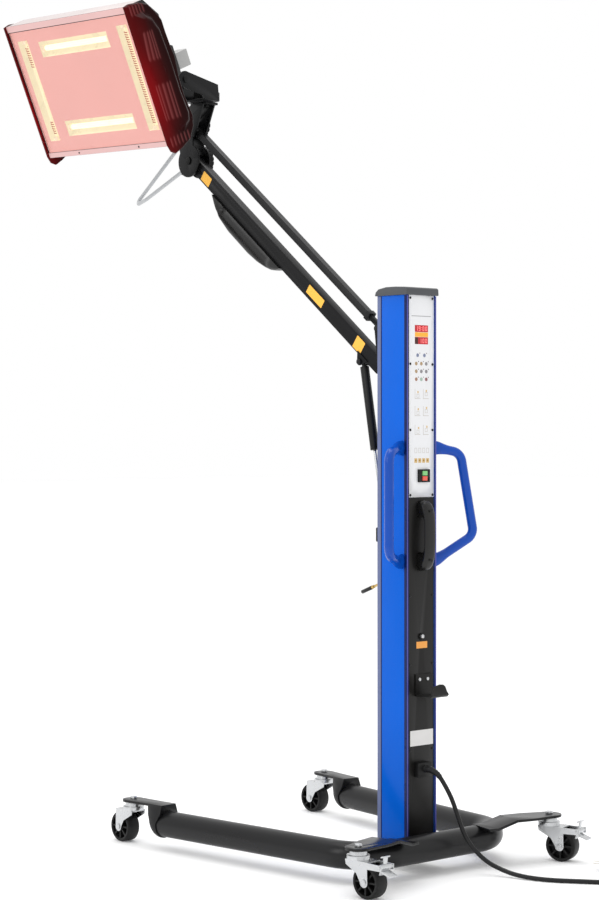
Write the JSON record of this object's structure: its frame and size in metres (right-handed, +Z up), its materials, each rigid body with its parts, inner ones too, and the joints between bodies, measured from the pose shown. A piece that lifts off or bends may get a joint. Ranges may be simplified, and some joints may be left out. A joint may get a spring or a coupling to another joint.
{
  "type": "infrared paint curing lamp",
  "caption": "Infrared lamp head with quartz tubes on a sprung swing arm, carried by a control column on a U-shaped castor base, for drying paint.",
  "frame": {"origin": "on the floor under the middle of the lamp without its cord", "axes": "+Z up, the control panel faces -Y, the swing arm leaves the column toward +Y and the lamp head faces -X"},
  "size_m": [0.8848, 1.6173, 2.0748],
  "materials": {
    "black_steel": "satin black powder coat",
    "blue_aluminium": "gloss blue coat",
    "zinc": "zinc plated",
    "silver_plate": "satin, anodised",
    "black_plate": "satin black coat",
    "black_plastic": "fine grained",
    "tyre": "smooth hard rubber",
    "red_window": "clear dark red",
    "keys": "printed domes",
    "green_button": "gloss",
    "red_button": "gloss",
    "board": "circuit board",
    "white_plastic": "moulded",
    "cover_plastic": "heat proof, satin",
    "casing": "satin sheet",
    "reflector": "polished, gilded",
    "pink_panel": "bright, lit from the lamps",
    "lamp": "clear quartz",
    "ceramic": "ceramic",
    "pink_glass": "heat proof",
    "grey_plastic": "moulded",
    "cord": "matt sheath"
  },
  "bodies": {
    "stand": {"base_frame": "black_steel", "castor_brackets": "black_steel", "stand_fasteners": "zinc", "column_foot": "black_steel", "column_profile": "blue_aluminium", "column_cap": "black_plastic", "control_panel": "silver_plate", "lower_panel": "black_plate", "display_windows": "red_window", "keypad": "keys", "switch_housing": "black_plastic", "front_grip": "black_plastic", "reset_collar": "black_plastic", "cable_hook": "black_steel", "cord_inlet": "black_plastic", "control_board": "board", "power_relay": "white_plastic", "side_handles": "blue_aluminium", "rear_rail": "black_steel", "rear_pins": "zinc", "mains_cord": "cord", "cord_coil": "cord", "plug": "black_plastic"},
    "castor_fl": {"castor_fork_fl": "zinc", "castor_axle_fl": "zinc"},
    "wheel_fl": {"castor_wheel_fl": "tyre"},
    "castor_fr": {"castor_fork_fr": "zinc", "castor_axle_fr": "zinc"},
    "wheel_fr": {"castor_wheel_fr": "tyre"},
    "castor_rl": {"castor_fork_rl": "zinc", "castor_axle_rl": "zinc"},
    "wheel_rl": {"castor_wheel_rl": "tyre"},
    "pedal_rl": {"brake_pedal_rl": "zinc"},
    "castor_rr": {"castor_fork_rr": "zinc", "castor_axle_rr": "zinc"},
    "wheel_rr": {"castor_wheel_rr": "tyre"},
    "pedal_rr": {"brake_pedal_rr": "zinc"},
    "arm": {"arm_tube": "black_steel", "arm_grip": "black_plastic", "spring_bolt": "zinc"},
    "link": {"upper_link": "black_steel"},
    "neck": {"neck_bracket": "black_steel", "pull_handle": "zinc", "clamp_knobs": "black_plastic"},
    "spring_cylinder": {"gas_cylinder": "black_steel"},
    "spring_rod": {"gas_rod": "zinc"},
    "lever": {"lock_lever": "black_steel"},
    "fork": {"tilt_fork": "black_steel"},
    "head": {"head_bracket": "black_steel", "head_casing": "casing", "side_covers": "cover_plastic", "reflector_panel": "pink_panel", "reflectors": "reflector", "lamp_tubes": "lamp", "lamp_holders": "ceramic", "front_glass": "pink_glass", "rear_box": "grey_plastic"},
    "start_button": {"start_button": "green_button"},
    "stop_button": {"stop_button": "red_button"},
    "reset_button": {"reset_button": "black_plastic"}
  },
  "joints": [
    {"name": "swivel_fl", "type": "hinge", "parent": "stand", "child": "castor_fl", "pos_m": [-0.2473, 0.2516, 0.09], "axis": [0, 0, 1], "continuous": true},
    {"name": "roll_fl", "type": "hinge", "parent": "castor_fl", "child": "wheel_fl", "pos_m": [-0.2473, 0.2866, 0.0375], "axis": [-1, 0, 0], "continuous": true},
    {"name": "swivel_fr", "type": "hinge", "parent": "stand", "child": "castor_fr", "pos_m": [0.3861, 0.2516, 0.09], "axis": [0, 0, 1], "continuous": true},
    {"name": "roll_fr", "type": "hinge", "parent": "castor_fr", "child": "wheel_fr", "pos_m": [0.38427, 0.28655, 0.0375], "axis": [-0.9986, -0.0523, 0], "continuous": true},
    {"name": "swivel_rl", "type": "hinge", "parent": "stand", "child": "castor_rl", "pos_m": [-0.2396, -0.5664, 0.09], "axis": [0, 0, 1], "continuous": true},
    {"name": "roll_rl", "type": "hinge", "parent": "castor_rl", "child": "wheel_rl", "pos_m": [-0.23655, -0.60127, 0.0375], "axis": [0.9962, 0.0872, 0], "continuous": true},
    {"name": "brake_rl", "type": "hinge", "parent": "castor_rl", "child": "pedal_rl", "pos_m": [-0.23263, -0.6461, 0.076], "axis": [0.9962, 0.0872, 0], "range_deg": [0, 20]},
    {"name": "swivel_rr", "type": "hinge", "parent": "stand", "child": "castor_rr", "pos_m": [0.3784, -0.5664, 0.09], "axis": [0, 0, 1], "continuous": true},
    {"name": "roll_rr", "type": "hinge", "parent": "castor_rr", "child": "wheel_rr", "pos_m": [0.39037, -0.59929, 0.0375], "axis": [0.9397, 0.342, 0], "continuous": true},
    {"name": "brake_rr", "type": "hinge", "parent": "castor_rr", "child": "pedal_rr", "pos_m": [0.40576, -0.64158, 0.076], "axis": [0.9397, 0.342, 0], "range_deg": [0, 20]},
    {"name": "arm_lift", "type": "hinge", "parent": "stand", "child": "arm", "pos_m": [0.0694, -0.3274, 1.1667], "axis": [1, 0, 0], "range_deg": [-35, 20]},
    {"name": "link_swing", "type": "hinge", "parent": "stand", "child": "link", "pos_m": [0.0694, -0.3124, 1.2677], "axis": [1, 0, 0], "range_deg": [-35, 20]},
    {"name": "neck_level", "type": "hinge", "parent": "arm", "child": "neck", "pos_m": [0.0694, 0.40992, 1.73349], "axis": [1, 0, 0], "range_deg": [-20, 35]},
    {"name": "spring_pivot", "type": "hinge", "parent": "arm", "child": "spring_cylinder", "pos_m": [0.0694, -0.24947, 1.19003], "axis": [1, 0, 0], "range_deg": [-20, 35]},
    {"name": "spring_stroke", "type": "slide", "parent": "spring_cylinder", "child": "spring_rod", "axis": [0, -0.1808, -0.9835], "range_m": [-0.05, 0.03]},
    {"name": "lever_swing", "type": "hinge", "parent": "stand", "child": "lever", "pos_m": [0.0694, -0.3304, 0.668], "axis": [1, 0, 0], "range_deg": [0, 30]},
    {"name": "head_swivel", "type": "hinge", "parent": "neck", "child": "fork", "pos_m": [0.0694, 0.35862, 1.88199], "axis": [0, 0, 1], "range_deg": [-90, 90]},
    {"name": "head_tilt", "type": "hinge", "parent": "fork", "child": "head", "pos_m": [-0.04242, 0.35237, 1.92599], "axis": [0.0558, -0.9984, 0], "range_deg": [-65, 20]},
    {"name": "start_press", "type": "slide", "parent": "stand", "child": "start_button", "axis": [0, 1, 0], "range_m": [0, 0.002], "stiffness_N_per_m": 300},
    {"name": "stop_press", "type": "slide", "parent": "stand", "child": "stop_button", "axis": [0, 1, 0], "range_m": [0, 0.002], "stiffness_N_per_m": 300},
    {"name": "reset_press", "type": "slide", "parent": "stand", "child": "reset_button", "axis": [0, 1, 0], "range_m": [0, 0.0015], "stiffness_N_per_m": 300}
  ],
  "couplings": [
    {"joint": "link_swing", "follows": "arm_lift", "ratio": 1},
    {"joint": "neck_level", "follows": "arm_lift", "ratio": -1},
    {"joint": "spring_pivot", "follows": "arm_lift", "ratio": -0.9371},
    {"joint": "spring_stroke", "follows": "arm_lift", "m_per_rad": 0.07398}
  ]
}
